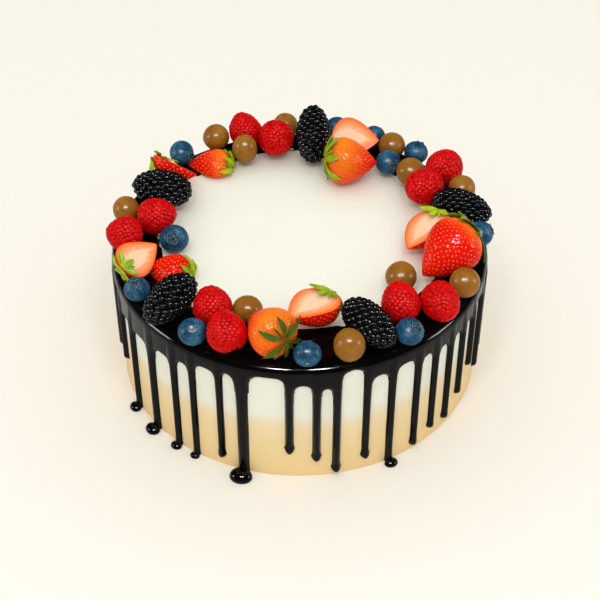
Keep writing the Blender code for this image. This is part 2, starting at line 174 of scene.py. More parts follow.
def mark_value(tree, name):
    return add_node(tree, "ShaderNodeAttribute", attribute_name=name).outputs["Fac"]


def new_finish(name, colour, shader_values):
    """A material whose base colour comes from colour(tree), and its Principled shader's own values."""
    material = bpy.data.materials.new(name)
    material.use_nodes = True
    tree = material.node_tree
    shader = tree.nodes["Principled BSDF"]
    for socket, value in shader_values.items():
        shader.inputs[socket].default_value = value
    for socket, source in colour(tree).items():
        tree.links.new(source, shader.inputs[socket])
    return material


def new_mottle_group():
    """Shared effect: a value that drifts over the surface, from large patches and fine grain."""
    group = bpy.data.node_groups.new("mottle", "ShaderNodeTree")
    for name, start in (("Patch Scale", 60.0), ("Grain Scale", 600.0), ("Grain Share", 0.3)):
        socket = group.interface.new_socket(name=name, in_out="INPUT", socket_type="NodeSocketFloat")
        socket.default_value = start
    group.interface.new_socket(name="Value", in_out="OUTPUT", socket_type="NodeSocketFloat")
    given = group.nodes.new("NodeGroupInput").outputs
    place = add_node(group, "ShaderNodeTexCoord").outputs["Object"]
    patch_values = {"Vector": place, "Scale": given["Patch Scale"], "Detail": 3.0}
    grain_values = {"Vector": place, "Scale": given["Grain Scale"], "Detail": 2.0}
    patch = add_node(group, "ShaderNodeTexNoise", patch_values).outputs[0]
    grain = add_node(group, "ShaderNodeTexNoise", grain_values).outputs[0]
    mixed = add_node(group, "ShaderNodeMix", {0: given["Grain Share"], 2: patch, 3: grain})
    result = group.nodes.new("NodeGroupOutput")
    group.links.new(mixed.outputs[0], result.inputs["Value"])
    return group


mottle_group = new_mottle_group()


def mottle(tree, patch_scale, grain_scale, grain_share):
    """The shared drift of values, at a material's own scales."""
    values = {"Patch Scale": patch_scale, "Grain Scale": grain_scale, "Grain Share": grain_share}
    node = tree.nodes.new("ShaderNodeGroup")
    node.node_tree = mottle_group
    for socket, value in values.items():
        node.inputs[socket].default_value = value
    return node.outputs["Value"]


def relief(tree, height, strength, depth):
    """A normal from a height, with its depth in metres."""
    values = {"Height": height, "Strength": strength, "Distance": depth}
    return add_node(tree, "ShaderNodeBump", values).outputs["Normal"]


def cream_colour(tree):
    drift = mottle(tree, 28.0, 240.0, 0.25)
    place = add_node(tree, "ShaderNodeTexCoord").outputs["Object"]
    height = add_node(tree, "ShaderNodeSeparateXYZ", {0: place}).outputs["Z"]
    low = BLEND_HEIGHT - BLEND_SOFTNESS + 0.5 * BLEND_SWAY
    blend = value_map(tree, times_plus(tree, drift, BLEND_SWAY, height), low, low + 2 * BLEND_SOFTNESS)
    blend.node.interpolation_type = "SMOOTHSTEP"
    tan = colour_ramp(
        tree,
        value_map(tree, height, 0.0, TAN_HEIGHT),
        (0.0, 0.87, 0.62, 0.31),
        (0.12, 0.88, 0.65, 0.32),
        (0.7, 0.89, 0.69, 0.37),
        (1.0, 0.89, 0.73, 0.46),
    )
    ivory = colour_ramp(tree, drift, (0.3, 0.875, 0.885, 0.77), (0.7, 0.84, 0.85, 0.735))
    lines = add_node(tree, "ShaderNodeMapping", {"Vector": place, "Scale": (18.0, 18.0, 420.0)}).outputs[0]
    scraped = add_node(tree, "ShaderNodeTexNoise", {"Vector": lines, "Scale": 1.0, "Detail": 3.0}).outputs[0]
    return {
        "Base Color": mix_colours(tree, blend, tan, ivory),
        "Normal": relief(tree, scraped, 0.25, 0.2 * MM),
    }


def cream_section(low, high):
    """Half a layer's outline: out along its underside, up the side, and in over its top."""
    section = [(share * CAKE_RADIUS, low) for share in (0.02, 0.5, 0.97)]
    side_end = min(high, CREAM_HEIGHT - CREAM_EDGE)
    section += [(CAKE_RADIUS, height) for height in np.linspace(max(low, 0.2 * MM), side_end, 22)]
    if high < CREAM_HEIGHT:
        return section + [(share * CAKE_RADIUS, high) for share in (0.97, 0.5, 0.02)]
    for turn in np.linspace(0, math.pi / 2, 9)[1:]:
        out = CAKE_RADIUS - CREAM_EDGE + CREAM_EDGE * math.cos(turn)
        section.append((out, CREAM_HEIGHT - CREAM_EDGE + CREAM_EDGE * math.sin(turn)))
    inward = np.linspace(1, 0.02, 34)[1:]
    return section + [((CAKE_RADIUS - CREAM_EDGE) * share, CREAM_HEIGHT) for share in inward]


def layer_of_cream(low, high):
    """A closed layer, wavy where its side and top show."""
    section = cream_section(low, high)
    points = []
    for radius, height in section:
        for place in range(CREAM_PLACES):
            turn = 2 * math.pi * place / CREAM_PLACES
            x = radius * math.cos(turn)
            y = radius * math.sin(turn)
            wave = noise.noise(Vector((x * 22, y * 22, height * 60))) * CREAM_UNEVENNESS
            if radius == CAKE_RADIUS or (radius > 0.9 * CAKE_RADIUS and cream_seam < height < CREAM_HEIGHT):
                points.append((x + wave * math.cos(turn), y + wave * math.sin(turn), height))
            elif height == CREAM_HEIGHT:
                swirl = 0.05 * MM * math.sin(radius * 700 + 2 * turn) * min(1.0, radius / (20 * MM))
                points.append((x, y, height + swirl - 0.06 * MM + 0.5 * wave))
            else:
                points.append((x, y, height))
    foot = tuple(range(CREAM_PLACES))[::-1]
    top = tuple(range(len(points) - CREAM_PLACES, len(points)))
    return points, facing_out(points, grid_faces(len(section), CREAM_PLACES, True) + [foot, top])


cream_values = {"Roughness": 0.5, "Specular IOR Level": 0.08}
cream_finish = new_finish("two-tone buttercream", cream_colour, cream_values)
cream_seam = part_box("cream_lower")[1][2]
for name, low, high in (("lower", 0.0, cream_seam), ("upper", cream_seam, CREAM_HEIGHT)):
    slot = "tan_cream" if name == "lower" else "white_cream"
    layer = new_piece(f"{name}_coat", *layer_of_cream(low, high), [cream_finish], slot, [f"cream_{name}"])
    layer.data.set_sharp_from_angle(angle=math.radians(50))


# The ganache: warm dark chocolate and cream, poured round the edge of the top so that it ran over the rim
# and down the side in drips. It set with a rounded edge and a wet gloss. The drips that reached the foot
# ended in small pools, and in front a thin film of it runs in under the fruit.
GANACHE_START = 66 * MM
GANACHE_INNER_RADIUS = 79 * MM
BACK_INSET = 8 * MM
FILM_REACH = 9 * MM
FILM_THICKNESS = 0.25 * MM
FILM_SLOPE = 2.5 * MM
GANACHE_THICKNESS = 1.75 * MM
DRIP_THICKNESS = 2.75 * MM
EDGE_ROUND = 1.9 * MM
BAND_FILLET = 5.5 * MM
TIP_FILLET = 1.5 * MM
FUNNEL_LENGTH = 9 * MM
POOLED_TIP = 0.8 * MM
POOL_SPREAD = 1.3 * MM
FOOT_GAP = 0.3 * MM
HIDDEN_DEPTH = 0.3 * MM
SHEET_DEPTH = 0.7 * MM
TURN_STEP = 1.5 * MM
TOP_STEP = 1.8 * MM

# Heights on the side from one to another and the step between them (mm), finest at the arches and the foot
SIDE_STEPS = ((75.1, 62, 0.6), (62, 34, 1.6), (34, 2.5, 0.9), (2.5, 0.4, 0.5), (0.3, 0, 1))

# Place round the cake (degrees), height of the tip, width, width of its pool, and height of the arch after
# it (mm)
FRONT_DRIPS = (
    (200, 24, 3.2, 0, 60),
    (209, 6, 4.2, 7.5, 60),
    (220, 5, 5.2, 9, 62.5),
    (230, 4, 4.4, 6.5, 65),
    (237, 4, 4.2, 5.5, 68.5),
    (246, 7, 4.2, 0, 70.5),
    (253, 4, 6.4, 12.5, 72),
    (267, 19, 4.6, 0, 67.5),
    (275, 13, 4.6, 0, 65.5),
    (281, 3, 4.6, 0, 75),
    (290, 9, 4.4, 0, 67),
    (298, 4, 4.6, 7.5, 68.5),
    (307, 4, 4.4, 0, 66.5),
    (314, 9, 4.2, 0, 65),
    (321, 7, 4.2, 0, 64.5),
    (328, 16, 4.0, 0, 64.5),
    (335, 27, 3.8, 0, 68),
)


def all_drips():
    """Drips in front and round the back, as (turn, tip height, half width, pool width, arch after it)."""
    drips = []
    for angle, tip, width, pool, arch in FRONT_DRIPS:
        tip_height = POOLED_TIP if pool else tip * MM
        drips.append((math.radians(angle), tip_height, 0.5 * width * MM, pool * MM, arch * MM))
    draw = random.Random(4)
    angle = FRONT_DRIPS[-1][0] + 9.0
    last = FRONT_DRIPS[0][0] + 360 - 8.0
    while angle < last:
        tip = draw.uniform(5, 34)
        half_width = draw.uniform(1.9, 2.4)
        arch = 71 + 1.6 * math.sin(2.3 * math.radians(angle))
        drips.append((math.radians(angle), tip * MM, half_width * MM, 0.0, arch * MM))
        angle += draw.uniform(9.0, 12.5)
    return drips


def ganache_path():
    """Places from the top's inner part over the rim and down: radius, height, and the way out and up."""
    path = []
    for radius in np.arange(GANACHE_START, CAKE_RADIUS - CREAM_EDGE - 0.1 * MM, TOP_STEP):
        path.append((radius, CREAM_HEIGHT, 0.0, 1.0))
    for turn in np.linspace(math.pi / 2, 0, 8):
        out = math.cos(turn)
        up = math.sin(turn)
        path.append((CAKE_RADIUS - CREAM_EDGE * (1 - out), CREAM_HEIGHT - CREAM_EDGE * (1 - up), out, up))
    for high, low, step in SIDE_STEPS:
        for height in np.arange(high, low, -step) * MM:
            path.append((CAKE_RADIUS, height, 1.0, 0.0))
    return np.array(path)


def smooth_least(first, second, reach):
    """The lesser of two distances, with a fillet where they meet."""
    share = np.clip(0.5 + 0.5 * (second - first) / reach, 0, 1)
    return second + (first - second) * share - reach * share * (1 - share)


def ganache_places(drips):
    """Turns round the cake, close together across each drip and wider apart between drips."""
    turns = []
    for number, (turn, _, half_width, _, _) in enumerate(drips):
        following = drips[(number + 1) % len(drips)][0]
        if following < turn:
            following += 2 * math.pi
        start = turn + 1.6 * half_width / CAKE_RADIUS
        end = following - 1.6 * drips[(number + 1) % len(drips)][2] / CAKE_RADIUS
        turns += list(np.linspace(2 * turn - start, start, 13))
        between = round((end - start) * CAKE_RADIUS / TURN_STEP)
        turns += list(np.linspace(start, end, 2 + between)[1:-1])
    return np.array(turns)


def distance_across(turn, centre):
    """How far round the cake's side a turn lies from the middle of a drip."""
    return np.abs((turn - centre + math.pi) % (2 * math.pi) - math.pi) * CAKE_RADIUS


def ganache_thickness(turns, path, drips):
    """How thick the ganache is at every place, and less than nothing where there is none."""
    steps = np.hypot(np.diff(path[:, 0]), np.diff(path[:, 1]))
    run = np.concatenate([[0], np.cumsum(steps)])[None, :]
    turn = turns[:, None]
    rim = run[0, np.argmin(np.abs(path[:, 3] - 0.7))]
    ring = GANACHE_INNER_RADIUS + 1.5 * MM * np.sin(5 * turn + 1) + 1.2 * MM * np.sin(11 * turn)
    behind = np.maximum(np.sin(turn), 0)
    in_front = np.maximum(-np.sin(turn), 0)
    inner = ring + BACK_INSET * behind - FILM_REACH * in_front**4
    foot = run[0, -1]
    knots = []
    for number, (centre, _, half_width, _, arch) in enumerate(drips):
        knots.append((centre - half_width / CAKE_RADIUS, drips[number - 1][4]))
        knots.append((centre + half_width / CAKE_RADIUS, arch))
    arches = np.interp(turns, *np.transpose(knots), period=2 * math.pi)[:, None]
    band_end = foot - (arches - FOOT_GAP) - 0.6 * MM
    gap = np.maximum(inner - GANACHE_START - run, run - band_end)
    closeness = np.zeros_like(gap)
    for centre, tip, half_width, pool, _ in drips:
        across = distance_across(turn, centre)
        end = foot - (tip - FOOT_GAP) - (0.0 if pool else half_width)
        funnel = 0.3 + 0.55 * np.clip((half_width - 2.1 * MM) / (1.1 * MM), 0, 1)
        waist = half_width * (0.86 + funnel * np.exp(-np.maximum(run - band_end, 0) / FUNNEL_LENGTH))
        below = np.maximum(run - end, 0)
        above = np.maximum(rim + 1.5 * MM - run, 0)
        shaft = np.sqrt(across**2 + below**2 + above**2) - waist
        bulb = np.sqrt(across**2 + (run - end) ** 2 * 0.4) - half_width
        drip = shaft if pool else smooth_least(shaft, bulb, TIP_FILLET)
        gap = smooth_least(gap, drip, BAND_FILLET)
        closeness = np.maximum(closeness, np.clip(1 - across / (half_width * 1.3), 0, 1) * (run > rim))
    depth = np.clip(-gap / EDGE_ROUND, 0, 1)
    bulge = np.sqrt(1 - (1 - depth) ** 2)
    lower = np.clip((run - rim) / (12 * MM), 0, 1)
    full = GANACHE_THICKNESS + (DRIP_THICKNESS - GANACHE_THICKNESS) * closeness**0.5 * lower
    poured = np.clip((run + GANACHE_START - ring) / FILM_SLOPE, 0, 1)
    full = FILM_THICKNESS + (full - FILM_THICKNESS) * np.sin(0.5 * math.pi * poured)
    thickness = full * bulge
    for centre, _, half_width, pool, _ in drips:
        if pool:
            across = distance_across(turn, centre)
            swell = np.clip(1 - (across / (1.25 * half_width)) ** 2, 0, 1) ** 0.5
            thickness = thickness + swell * 0.4 * pool * np.exp(-(foot - run) / POOL_SPREAD)
    return np.where(gap > 0, -HIDDEN_DEPTH * np.clip(gap / (0.3 * MM), 0, 1), thickness)


def shifted(faces, first):
    """The same faces, with their corners counted on from another first point."""
    return [tuple(first + corner for corner in face) for face in faces]


def closed_sheet(outer, count):
    """Outer faces, the same faces turned over on the points that lie a count later, and a rim between."""
    edges = dict.fromkeys(edge for face in outer for edge in zip(face, face[1:] + face[:1]))
    rim = [(end, start, start + count, end + count) for start, end in edges if (end, start) not in edges]
    return outer + shifted(turned_over(outer), count) + rim


def used_points(points, faces):
    """Only the points that the faces use, and the faces with their corners counted anew."""
    used = sorted({corner for face in faces for corner in face})
    order = {corner: number for number, corner in enumerate(used)}
    return points[used], [tuple(order[corner] for corner in face) for face in faces]


def pool_points(turn, width, first):
    """A round, domed pool in front of the foot of a drip."""
    rows, columns = 14, 36
    points = []
    for row in range(rows):
        rise = 0.49 * math.pi * row / (rows - 1)
        out = math.cos(rise) ** 0.8
        for column in range(columns):
            around = 2 * math.pi * column / columns
            x = CAKE_RADIUS + 0.4 * MM + 0.418 * width * (1 + out * math.cos(around))
            y = 0.5 * width * out * math.sin(around)
            z = FOOT_GAP + 0.36 * width * math.sin(rise)
            placed_x = x * math.cos(turn) - y * math.sin(turn)
            placed_y = x * math.sin(turn) + y * math.cos(turn)
            points.append((placed_x, placed_y, z))
    foot = tuple(range(columns))[::-1]
    crest = tuple(range((rows - 1) * columns, rows * columns))
    faces = grid_faces(rows, columns, True) + [foot, crest]
    faces = facing_out(np.array(points) - np.mean(points, axis=0), faces)
    return points, shifted(faces, first)


def ganache_sheet():
    """The sheet with its drips as one closed mesh: an outer face, a hidden inner one, and the pools."""
    drips = all_drips()
    path = ganache_path()
    turns = ganache_places(drips)
    thickness = ganache_thickness(turns, path, drips)
    rows, columns = len(turns), len(path)
    layers = []
    for depth in (thickness, np.full_like(thickness, -SHEET_DEPTH)):
        radius = path[None, :, 0] + depth * path[None, :, 2]
        height = path[None, :, 1] + depth * path[None, :, 3]
        x = radius * np.cos(turns)[:, None]
        y = radius * np.sin(turns)[:, None]
        layers.append(np.stack([x, y, height + 0 * x], axis=-1).reshape(-1, 3))
    covered = (thickness > -0.9 * HIDDEN_DEPTH).ravel()
    outer = []
    for row in range(rows):
        following = (row + 1) % rows
        for column in range(columns - 1):
            corners = (
                row * columns + column,
                row * columns + column + 1,
                following * columns + column + 1,
                following * columns + column,
            )
            if any(covered[corner] for corner in corners):
                outer.append(corners)
    points = np.concatenate(layers)
    points, faces = used_points(points, facing_out(points, closed_sheet(outer, rows * columns)))
    points = points.tolist()
    for turn, _, _, width, _ in drips:
        if width:
            pool, pool_faces = pool_points(turn, width, len(points))
            points += pool
            faces += pool_faces
    return np.array(points), faces


def ganache_colour(tree):
    drift = mottle(tree, 90.0, 900.0, 0.2)
    colour = colour_ramp(tree, drift, (0.3, 0.0014, 0.0012, 0.0011), (0.7, 0.003, 0.0024, 0.0021))
    return {
        "Base Color": colour,
        "Roughness": value_map(tree, drift, 0.3, 0.7, 0.06, 0.13),
        "Normal": relief(tree, drift, 0.12, 0.3 * MM),
    }


ganache_finish = new_finish("poured ganache", ganache_colour, {"IOR": 1.24})
new_piece("poured_ganache", *ganache_sheet(), [ganache_finish], "ganache", ["ganache"])


# Raspberries and brambles: soft fruit laid on the ganache while it was wet. Each is a core covered with
# round, juicy drupelets, matt red on the raspberries and glassy black on the brambles. A raspberry is hollow
# where it came off its stalk.
GOLDEN_ANGLE = math.pi * (3 - math.sqrt(5))

# Length, width (mm), heading and tilt of the tip (degrees)
RASPBERRIES = (
    (22, 20, 120, 50),
    (22, 21.5, 270, 5),
    (23, 20.5, 0, 15),
    (22, 20.5, 190, 15),
    (21.5, 21, 120, 60),
    (23, 21, 120, 45),
    (23, 21, 110, 50),
    (25, 20.5, 290, 5),
    (24, 22, 200, 20),
    (24, 21.5, 215, 15),
)
BRAMBLES = (
    (36, 21.5, 90, 42),
    (35, 22, 165, 0),
    (36, 21, 222, -20),
    (36, 20.5, 320, -18),
    (35, 19.5, 338, -8),
)


def facing(heading, tilt, lean=0.0):
    """Turns local +X to a heading and a tilt, and leans local +Z to the left of the heading."""
    turn = Matrix.Rotation(math.radians(heading), 3, "Z")
    rise = Matrix.Rotation(-math.radians(tilt), 3, "Y")
    return np.array(turn @ rise @ Matrix.Rotation(-math.radians(lean), 3, "X"))


def fitted(points, turn, node):
    """The points turned, then moved and stretched so that they fill the box of a CAD node."""
    points = points @ turn.T
    low, high = points.min(0), points.max(0)
    node_low, node_high = (np.array(corner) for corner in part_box(node))
    return (points - low) / (high - low) * (node_high - node_low) + node_low


def ball_mesh(subdivisions):
    """Points and triangles of a unit ball."""
    bm = bmesh.new()
    bmesh.ops.create_icosphere(bm, subdivisions=subdivisions, radius=1.0)
    points = np.array([vert.co for vert in bm.verts])
    faces = [tuple(vert.index for vert in face.verts) for face in bm.faces]
    bm.free()
    return points, faces


def cut_ball(subdivisions, lowest):
    """The part of a unit ball that lies above lowest."""
    points, faces = ball_mesh(subdivisions)
    kept = [face for face in faces if max(points[corner][2] for corner in face) > lowest]
    return used_points(points, kept)


def ovoid_radius(along, width, taper):
    """Half the width of a berry at places from -1 at its base to 1 at its tip."""
    return 0.5 * width * np.sqrt(np.maximum(1 - along**2, 0)) * (1 - taper * along)


def skin_area(x, radii):
    """The area of a round skin from its start to each place along it."""
    slant = np.hypot(np.diff(radii), np.diff(x))
    return np.concatenate([[0], np.cumsum(math.pi * (radii[1:] + radii[:-1]) * slant)])


# Taper, number of drupelets, their radius in shares of their spacing, their stray in shares of it, their
# height and the depth of their middle in shares of the radius, where their ball is cut off, and the size of
# the core
RASPBERRY_FORM = (0.16, 190, 0.64, 0.06, 0.66, 0.64, 0.38, 0.95)
BRAMBLE_FORM = (0.06, 140, 0.53, 0.07, 1.0, 0.3, -0.3, 0.87)


def drupelet_berry(length, width, form, hollow, draw):
    """A berry along +X, with each point's height on its drupelet and that drupelet's tone."""
    taper, count, radius_share, stray, flatness, depth, lowest, core_size = form
    drupelet_points, drupelet_faces = cut_ball(3, lowest)
    along_steps = np.linspace(-1, 1, 400)
    area = skin_area(0.5 * length * along_steps, ovoid_radius(along_steps, width, taper))
    spacing = math.sqrt(area[-1] / count / 0.866)
    size = radius_share * spacing
    points = []
    faces = []
    heights = []
    tones = []
    for number in range(count):
        share = 1 - (number + 0.5) / count
        along = np.interp(share * area[-1], area, along_steps)
        turn = GOLDEN_ANGLE * number + draw.uniform(-0.06, 0.06)
        radius = ovoid_radius(along, width, taper)
        if hollow and along < -0.94:
            continue
        spot = np.array([0.5 * length * along, radius * math.cos(turn), radius * math.sin(turn)])
        ahead = along / (0.5 * length)
        aside = math.sqrt(max(1 - along**2, 0.0)) / (0.5 * width)
        out = Vector((ahead, aside * math.cos(turn), aside * math.sin(turn))).normalized()
        basis = np.array(out.to_track_quat("Z", "Y").to_matrix())
        own_size = size * draw.uniform(0.92, 1.06)
        shape = drupelet_points * np.array([own_size, own_size, own_size * flatness])
        strayed = np.array([draw.uniform(-stray, stray), draw.uniform(-stray, stray), 0.0]) * spacing
        strayed[2] = -size * depth * draw.uniform(0.9, 1.1)
        middle = spot + basis @ strayed
        faces += shifted(drupelet_faces, len(points))
        points += (shape @ basis.T + middle).tolist()
        # Each point's height on its drupelet, which the raspberry's colour uses to paint shade in the
        # grooves
        heights += np.clip(drupelet_points[:, 2], 0, 1).tolist()
        tones += [draw.random()] * len(drupelet_points)
    core, core_faces = ball_mesh(3)
    along = core[:, 0]
    around = np.arctan2(core[:, 2], core[:, 1])
    core_radius = ovoid_radius(along, width, taper) * core_size
    core_along = 0.5 * length * core_size * along
    core = np.stack([core_along, core_radius * np.cos(around), core_radius * np.sin(around)], axis=1)
    if hollow:
        rim = 0.24 * width
        inside = (along < -0.5) & (core_radius < rim)
        core[inside, 0] += 0.5 * length * (1 - (core_radius[inside] / rim) ** 4)
    faces += shifted(core_faces, len(points))
    points += core.tolist()
    heights += [0.0] * len(core)
    tones += [0.5] * len(core)
    return np.array(points), faces, {"height_on_drupelet": heights, "tone": tones}


def raspberry_colour(tree):
    drift = mottle(tree, 70.0, 1400.0, 0.35)
    # The skin is painted a deeper red low on each drupelet, in the grooves between them: painted shade.
    height = value_map(tree, mark_value(tree, "height_on_drupelet"), 0.35, 0.85)
    top = colour_ramp(tree, mark_value(tree, "tone"), (0.0, 0.52, 0.001, 0.002), (1.0, 0.74, 0.006, 0.006))
    skin = mix_colours(tree, height, (0.46, 0.001, 0.001), top)
    skin = mix_colours(tree, value_map(tree, drift, 0.45, 0.8, 0.0, 0.4), skin, (0.40, 0.001, 0.001))
    return {
        "Base Color": skin,
        "Roughness": value_map(tree, drift, 0.3, 0.7, 0.15, 0.27),
        "Normal": relief(tree, drift, 0.2, 0.12 * MM),
    }


def bramble_colour(tree):
    drift = mottle(tree, 90.0, 1200.0, 0.3)
    tone = mark_value(tree, "tone")
    skin = colour_ramp(tree, tone, (0.0, 0.001, 0.0015, 0.002), (1.0, 0.003, 0.004, 0.005))
    return {"Base Color": skin, "Roughness": value_map(tree, drift, 0.3, 0.7, 0.07, 0.13)}


raspberry_finish = new_finish(
    "raspberry skin",
    raspberry_colour,
    {"Subsurface Weight": 0.1, "Subsurface Scale": 1.5 * MM, "Specular IOR Level": 0.05},
)
bramble_finish = new_finish("bramble skin", bramble_colour, {"Specular IOR Level": 0.18})
berry_draw = random.Random(21)
for fruit, colour, sizes, form, finish in (
    ("raspberry", "red", RASPBERRIES, RASPBERRY_FORM, raspberry_finish),
    ("bramble", "black", BRAMBLES, BRAMBLE_FORM, bramble_finish),
):
    for number, (length, width, heading, tilt) in enumerate(sizes, 1):
        hollow = fruit == "raspberry"
        points, faces, marks = drupelet_berry(length * MM, width * MM, form, hollow, berry_draw)
        node = f"{fruit}_{number}"
        points = fitted(points, facing(heading, tilt), node)
        new_piece(f"{colour}_{node}", points, faces, [finish], fruit, [node], marks)


# Blueberries: round blue-black berries with a pale, waxy bloom that handling has rubbed off in places. One
# end has a ragged crown round a sunken disc, and the other a small dry scar where the stalk was.

# Width, height (mm), heading and tilt of the crown (degrees)
BLUEBERRIES = (
    (14.8, 14.4, 330, 0),
    (16, 15, 270, 40),
    (13.6, 12.6, 270, 65),
    (14.8, 13.8, 90, -60),
    (14.4, 13, 90, 10),
    (14.8, 13.8, 315, 50),
    (14.4, 13.4, 0, 30),
    (14.4, 13.6, 60, 20),
    (14.8, 14, 300, 20),
    (13.6, 12.8, 240, -50),
    (14.6, 13.6, 90, 0),
)
CROWN_RADIUS = 0.36


def blueberry(width, height, draw):
    """A berry with its crown on +X, as points, faces and marks for the crown and the scar."""
    columns = 56
    lean = np.concatenate([np.linspace(0.015, 0.58, 26), np.linspace(0.65, math.pi - 0.015, 20)])[:, None]
    turn = np.linspace(0, 2 * math.pi, columns, endpoint=False)[None, :]
    around = turn + draw.uniform(0, 6)
    front = lean < 0.5 * math.pi
    out = np.sin(lean) + 0 * turn
    ragged = 0.4 * np.sin(13 * around + draw.uniform(0, 6)) + 0.3 * np.sin(23 * around)
    past_crest = out - CROWN_RADIUS - 0.05 * np.cos(5 * around) - 0.02 * ragged
    crest = np.exp(-((past_crest / 0.04) ** 2)) * (0.07 + 0.03 * np.cos(5 * around) + 0.02 * ragged)
    sunk = 1 / (1 + np.exp((past_crest + 0.06) / 0.015))
    folds = 0.02 * np.cos(5 * around) * np.clip(out / 0.2, 0, 1)
    nub = 0.06 * np.exp(-((out / 0.07) ** 2))
    scar = np.where(front, 0.0, np.exp(-((out / 0.13) ** 2)))
    x = np.cos(lean) + np.where(front, crest - sunk * (0.10 + folds - nub), 0.07 * scar)
    spread = out * (1 + np.where(front, 1.3 * crest, 0.0))
    berry = [x * 0.5 * height, spread * np.cos(turn) * 0.5 * width, spread * np.sin(turn) * 0.5 * width]
    points = np.stack(berry, axis=-1).reshape(-1, 3)
    ends = [tuple(range(columns))[::-1], tuple(range(len(points) - columns, len(points)))]
    faces = facing_out(points, grid_faces(len(lean), columns, True) + ends)
    crown = np.where(front, np.clip(0.5 + 3 * past_crest, 0, 1), 1.0)
    return points, faces, {"crown": crown.ravel(), "scar": scar.ravel(), "out": out.ravel()}


def blueberry_colour(tree):
    bloom = mottle(tree, 130.0, 900.0, 0.45)
    rubbed = mottle(tree, 330.0, 1500.0, 0.5)
    skin = colour_ramp(
        tree,
        bloom,
        (0.34, 0.001, 0.022, 0.062),
        (0.5, 0.006, 0.072, 0.15),
        (0.66, 0.05, 0.19, 0.30),
    )
    skin = mix_colours(tree, value_map(tree, rubbed, 0.54, 0.64, 0.0, 0.8), skin, (0.001, 0.012, 0.034))
    crown = mark_value(tree, "crown")
    # The crown is painted darkest on its inner wall, where it sinks to the disc: painted shade. It is also
    # darker just outside the crest.
    ring = colour_ramp(
        tree,
        crown,
        (0.0, 0.02, 0.075, 0.11),
        (0.22, 0.02, 0.07, 0.10),
        (0.36, 0.001, 0.006, 0.012),
        (0.5, 0.09, 0.19, 0.25),
        (0.58, 0.06, 0.14, 0.20),
        (0.68, 0.002, 0.012, 0.025),
    )
    middle = value_map(tree, mark_value(tree, "out"), 0.05, 0.13)
    ring = mix_colours(tree, middle, (0.003, 0.008, 0.012), ring)
    skin = mix_colours(tree, value_map(tree, crown, 0.70, 0.82), ring, skin)
    skin = mix_colours(tree, value_map(tree, mark_value(tree, "scar"), 0.35, 0.75), skin, (0.42, 0.33, 0.05))
    return {
        "Base Color": skin,
        "Roughness": value_map(tree, bloom, 0.35, 0.65, 0.26, 0.5),
        "Normal": relief(tree, rubbed, 0.3, 0.1 * MM),
    }


blueberry_finish = new_finish("blueberry skin", blueberry_colour, {"Specular IOR Level": 0.18})
for number, (width, height, heading, tilt) in enumerate(BLUEBERRIES, 1):
    points, faces, marks = blueberry(width * MM, height * MM, berry_draw)
    node = f"blueberry_{number}"
    points = fitted(points, facing(heading, tilt), node)
    new_piece(f"blue_{node}", points, faces, [blueberry_finish], "blueberry", [node], marks)


# Malt balls: crisp malt centres rolled in milk chocolate in a tumbling pan, which leaves a satin coating
# with shallow flats and dimples.
MALT_BALL_COUNT = 11


def malt_ball(draw):
    """A ball of about unit size, with drawn swells and dimples."""
    points, faces = ball_mesh(4)
    shift = Vector((draw.uniform(0, 50), draw.uniform(0, 50), draw.uniform(0, 50)))
    swells = [noise.noise(Vector(point) * 1.6 + shift) for point in points]
    dimples = [noise.noise(Vector(point) * 4.5 + shift) for point in points]
    size = 1 + 0.022 * np.array(swells) + 0.009 * np.array(dimples)
    return points * size[:, None], faces


def malt_ball_colour(tree):
    drift = mottle(tree, 110.0, 800.0, 0.3)
    skin = colour_ramp(
        tree,
        drift,
        (0.3, 0.23, 0.085, 0.008),
        (0.55, 0.32, 0.135, 0.013),
        (0.75, 0.40, 0.19, 0.03),
    )
    return {
        "Base Color": skin,
        "Roughness": value_map(tree, drift, 0.3, 0.7, 0.2, 0.34),
        "Normal": relief(tree, drift, 0.35, 0.25 * MM),
    }


malt_ball_finish = new_finish("milk chocolate", malt_ball_colour, {"Specular IOR Level": 0.16})
for number in range(1, MALT_BALL_COUNT + 1):
    node = f"malt_ball_{number}"
    points, faces = malt_ball(berry_draw)
    points = fitted(points, np.eye(3), node)
    new_piece(f"coated_{node}", points, faces, [malt_ball_finish], "malt_ball", [node])


# Strawberries: some whole and some cut in half, with small golden seeds set in dimples of a glossy skin. The
# skin is orange at the shoulder where it ripened last, and the cut faces show an orange rim round a paler
# core.
# The skin is also painted paler orange on its upper side and deeper red on its lower side: painted light and
# shade.

# Length, width (mm), heading and tilt of the tip, the kind, the lean of a cut face (degrees), the shares of
# the length where the skin turns from orange to red, and how orange it stays
STRAWBERRIES = (
    (27, 21, 172, 0, "cut face down", 0, 0.15, 0.75, 0.2),
    (30, 22, 324, 0, "cut face up", 48, 0.0, 0.5, 0.3),
    (26, 21, 50, 0, "cut face up", -30, 0.0, 0.3, 0.1),
    (27, 22, 160, 0, "cut face down", 0, 0.0, 0.2, 0.0),
    (29, 26, 128, -8, "whole", 0, 0.3, 1.0, 0.35),
    (30, 28, 224, 0, "cut face up", -12, 0.0, 0.5, 0.3),
    (38, 31, 222, -18, "whole", 0, 0.1, 0.4, 0.1),
    (34, 24, 237, -8, "cut face up", -17, 0.0, 0.6, 0.3),
    (30, 27, 5, -8, "whole", 0, 0.35, 1.05, 0.35),
    (28, 25, 350, 0, "cut face up", -35, 0.0, 0.5, 0.3),
)
STRAWBERRY_MIDDLE = 0.42
SKIN_PER_SEED = 6.6 * MM * MM
SEED_SIZE = (0.62 * MM, 0.4 * MM, 0.3 * MM)
SEED_DEPTH = 0.5 * MM
DIMPLE_RADIUS = 0.8 * MM
DIMPLE_DEPTH = 0.5 * MM


